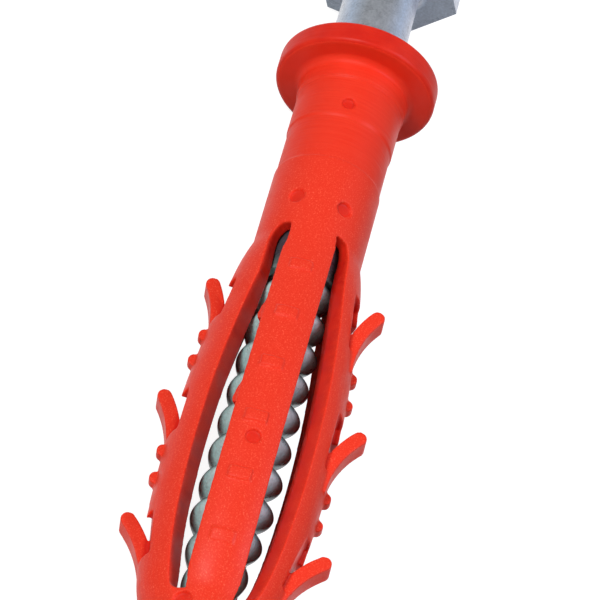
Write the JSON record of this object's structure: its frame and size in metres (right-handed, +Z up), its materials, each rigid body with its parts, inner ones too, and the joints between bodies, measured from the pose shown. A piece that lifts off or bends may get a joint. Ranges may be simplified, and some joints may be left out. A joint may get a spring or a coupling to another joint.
{
  "type": "nylon frame plug",
  "caption": "Moulded nylon frame plug with a collar, slotted legs bowed outwards and barb fingers, round its hexagon head screw with a coarse rounded thread.",
  "frame": {"origin": "centre of the plug on the plane of the collar's underside", "axes": "+X along the plug's axis towards its tip, +Z up as it lies on its collar, barbs and back leg"},
  "size_m": [0.0872, 0.0152, 0.0152],
  "materials": {
    "nylon": "satin moulded nylon",
    "zinc_steel": "zinc plated"
  },
  "bodies": {
    "plug": {"nylon_plug": "nylon"},
    "screw": {"hex_screw": "zinc_steel"}
  },
  "joints": [
    {"name": "screw_travel", "type": "slide", "parent": "plug", "child": "screw", "axis": [1, 0, 0], "range_m": [-0.055, 0.0116]}
  ]
}
